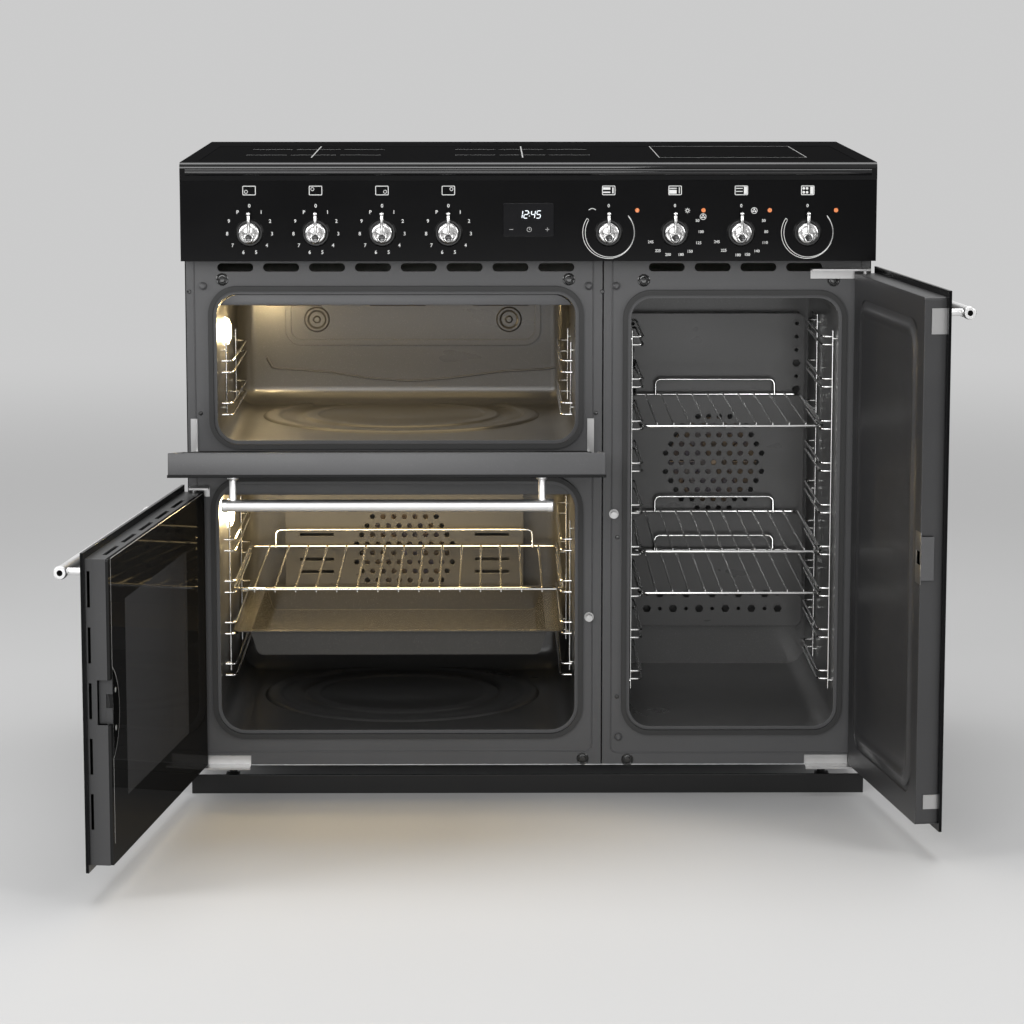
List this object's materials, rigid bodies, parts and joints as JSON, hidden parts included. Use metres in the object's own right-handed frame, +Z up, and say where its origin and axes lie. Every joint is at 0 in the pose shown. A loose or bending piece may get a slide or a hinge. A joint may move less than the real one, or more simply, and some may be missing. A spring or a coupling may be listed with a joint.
{
  "type": "range cooker",
  "caption": "Freestanding electric range cooker: glass hob, knob fascia, drop-down grill oven, side-hung main oven and tall oven with wire shelves.",
  "frame": {"origin": "on the floor at mid-width, on the front plane of the carcass, which is on the plinth's underside", "axes": "+X to the right as seen from the front, +Y from the front to the back, +Z up"},
  "size_m": [1.2319, 1.1607, 0.935],
  "materials": {
    "black_enamel": "gloss vitreous enamel",
    "grey_enamel": "satin vitreous enamel",
    "oven_enamel": "semi-gloss oven enamel",
    "zinc_sheet": "zinc-coated sheet",
    "black_glass": "gloss tempered glass",
    "bright_wire": "bright chrome",
    "satin_steel": "satin steel",
    "element_steel": "heat-darkened steel",
    "seal_rubber": "matt",
    "black_plastic": "matt",
    "lamp_glass": "clear glass",
    "amber_lens": "clear lens",
    "copper_coil": "wound copper",
    "mineral_wool": "felted wool",
    "plinth_black": "satin"
  },
  "bodies": {
    "cooker": {"side_panels": "black_enamel", "back_panel": "zinc_sheet", "base_pan": "zinc_sheet", "front_frame_left": "grey_enamel", "front_frame_right": "grey_enamel", "plinth": "plinth_black", "levelling_feet": "black_plastic", "control_fascia": "black_enamel", "display_window": "black_glass", "hob_frame": "black_enamel", "hob_glass": "black_glass", "induction_coils": "copper_coil", "grill_cavity": "oven_enamel", "main_cavity": "oven_enamel", "tall_cavity": "oven_enamel", "grill_element": "element_steel", "main_fan_cover": "oven_enamel", "tall_fan_cover": "oven_enamel", "ring_elements": "element_steel", "fan_motors": "zinc_sheet", "grill_side_racks": "bright_wire", "main_side_racks": "bright_wire", "tall_side_racks": "bright_wire", "oven_lamps": "lamp_glass", "oven_seals": "seal_rubber", "hinge_brackets": "satin_steel", "door_catches": "satin_steel", "knob_bezels": "black_plastic", "indicator_lamps": "amber_lens", "frame_bumpers": "seal_rubber", "terminal_box": "black_plastic", "switch_bodies": "black_plastic", "cavity_insulation": "mineral_wool"},
    "main_door": {"main_door_skin": "black_enamel", "main_door_frame": "grey_enamel", "main_door_glass": "black_glass", "main_door_handle": "satin_steel"},
    "tall_door": {"tall_door_skin": "black_enamel", "tall_door_liner": "grey_enamel", "tall_door_clips": "satin_steel", "tall_door_handle": "satin_steel"},
    "grill_door": {"grill_door_skin": "black_enamel", "grill_door_frame": "grey_enamel", "grill_door_glass": "black_glass", "grill_door_handle": "satin_steel"},
    "knob_1_body": {"knob_1": "satin_steel"},
    "knob_2_body": {"knob_2": "satin_steel"},
    "knob_3_body": {"knob_3": "satin_steel"},
    "knob_4_body": {"knob_4": "satin_steel"},
    "knob_5_body": {"knob_5": "satin_steel"},
    "knob_6_body": {"knob_6": "satin_steel"},
    "knob_7_body": {"knob_7": "satin_steel"},
    "knob_8_body": {"knob_8": "satin_steel"},
    "main_fan_body": {"main_fan": "element_steel"},
    "tall_fan_body": {"tall_fan": "element_steel"},
    "main_shelf_body": {"main_shelf": "bright_wire"},
    "baking_tray_body": {"baking_tray": "black_enamel"},
    "tall_shelf_upper_body": {"tall_shelf_upper": "bright_wire"},
    "tall_shelf_middle_body": {"tall_shelf_middle": "bright_wire"},
    "tall_shelf_lower_body": {"tall_shelf_lower": "bright_wire"}
  },
  "joints": [
    {"name": "main_door_swing", "type": "hinge", "parent": "cooker", "child": "main_door", "pos_m": [-0.488, -0.022, 0.232], "axis": [0, 0, 1], "range_deg": [0, 97.6]},
    {"name": "tall_door_swing", "type": "hinge", "parent": "cooker", "child": "tall_door", "pos_m": [0.488, -0.022, 0.3915], "axis": [0, 0, -1], "range_deg": [0, 98.4]},
    {"name": "grill_door_drop", "type": "hinge", "parent": "cooker", "child": "grill_door", "pos_m": [-0.198, -0.022, 0.5], "axis": [-1, 0, 0], "range_deg": [0, 82.4]},
    {"name": "knob_1_turn", "type": "hinge", "parent": "cooker", "child": "knob_1_body", "pos_m": [-0.4006, -0.042, 0.8345], "axis": [0, 1, 0], "range_deg": [0, 300]},
    {"name": "knob_2_turn", "type": "hinge", "parent": "cooker", "child": "knob_2_body", "pos_m": [-0.3054, -0.042, 0.8345], "axis": [0, 1, 0], "range_deg": [0, 300]},
    {"name": "knob_3_turn", "type": "hinge", "parent": "cooker", "child": "knob_3_body", "pos_m": [-0.2102, -0.042, 0.8345], "axis": [0, 1, 0], "range_deg": [0, 300]},
    {"name": "knob_4_turn", "type": "hinge", "parent": "cooker", "child": "knob_4_body", "pos_m": [-0.115, -0.042, 0.8345], "axis": [0, 1, 0], "range_deg": [0, 300]},
    {"name": "knob_5_turn", "type": "hinge", "parent": "cooker", "child": "knob_5_body", "pos_m": [0.115, -0.042, 0.8345], "axis": [0, 1, 0], "range_deg": [0, 300]},
    {"name": "knob_6_turn", "type": "hinge", "parent": "cooker", "child": "knob_6_body", "pos_m": [0.2102, -0.042, 0.8345], "axis": [0, 1, 0], "range_deg": [0, 270]},
    {"name": "knob_7_turn", "type": "hinge", "parent": "cooker", "child": "knob_7_body", "pos_m": [0.3054, -0.042, 0.8345], "axis": [0, 1, 0], "range_deg": [0, 270]},
    {"name": "knob_8_turn", "type": "hinge", "parent": "cooker", "child": "knob_8_body", "pos_m": [0.4006, -0.042, 0.8345], "axis": [0, 1, 0], "range_deg": [0, 300]},
    {"name": "main_fan_spin", "type": "hinge", "parent": "cooker", "child": "main_fan_body", "pos_m": [-0.192, 0.47, 0.286], "axis": [0, 1, 0], "continuous": true},
    {"name": "tall_fan_spin", "type": "hinge", "parent": "cooker", "child": "tall_fan_body", "pos_m": [0.301, 0.47, 0.432], "axis": [0, 1, 0], "continuous": true},
    {"name": "main_shelf_slide", "type": "slide", "parent": "cooker", "child": "main_shelf_body", "axis": [0, 1, 0], "range_m": [-0.3, 0]},
    {"name": "baking_tray_slide", "type": "slide", "parent": "cooker", "child": "baking_tray_body", "axis": [0, 1, 0], "range_m": [-0.3, 0]},
    {"name": "tall_shelf_upper_slide", "type": "slide", "parent": "cooker", "child": "tall_shelf_upper_body", "axis": [0, 1, 0], "range_m": [-0.3, 0]},
    {"name": "tall_shelf_middle_slide", "type": "slide", "parent": "cooker", "child": "tall_shelf_middle_body", "axis": [0, 1, 0], "range_m": [-0.3, 0]},
    {"name": "tall_shelf_lower_slide", "type": "slide", "parent": "cooker", "child": "tall_shelf_lower_body", "axis": [0, 1, 0], "range_m": [-0.3, 0]}
  ]
}
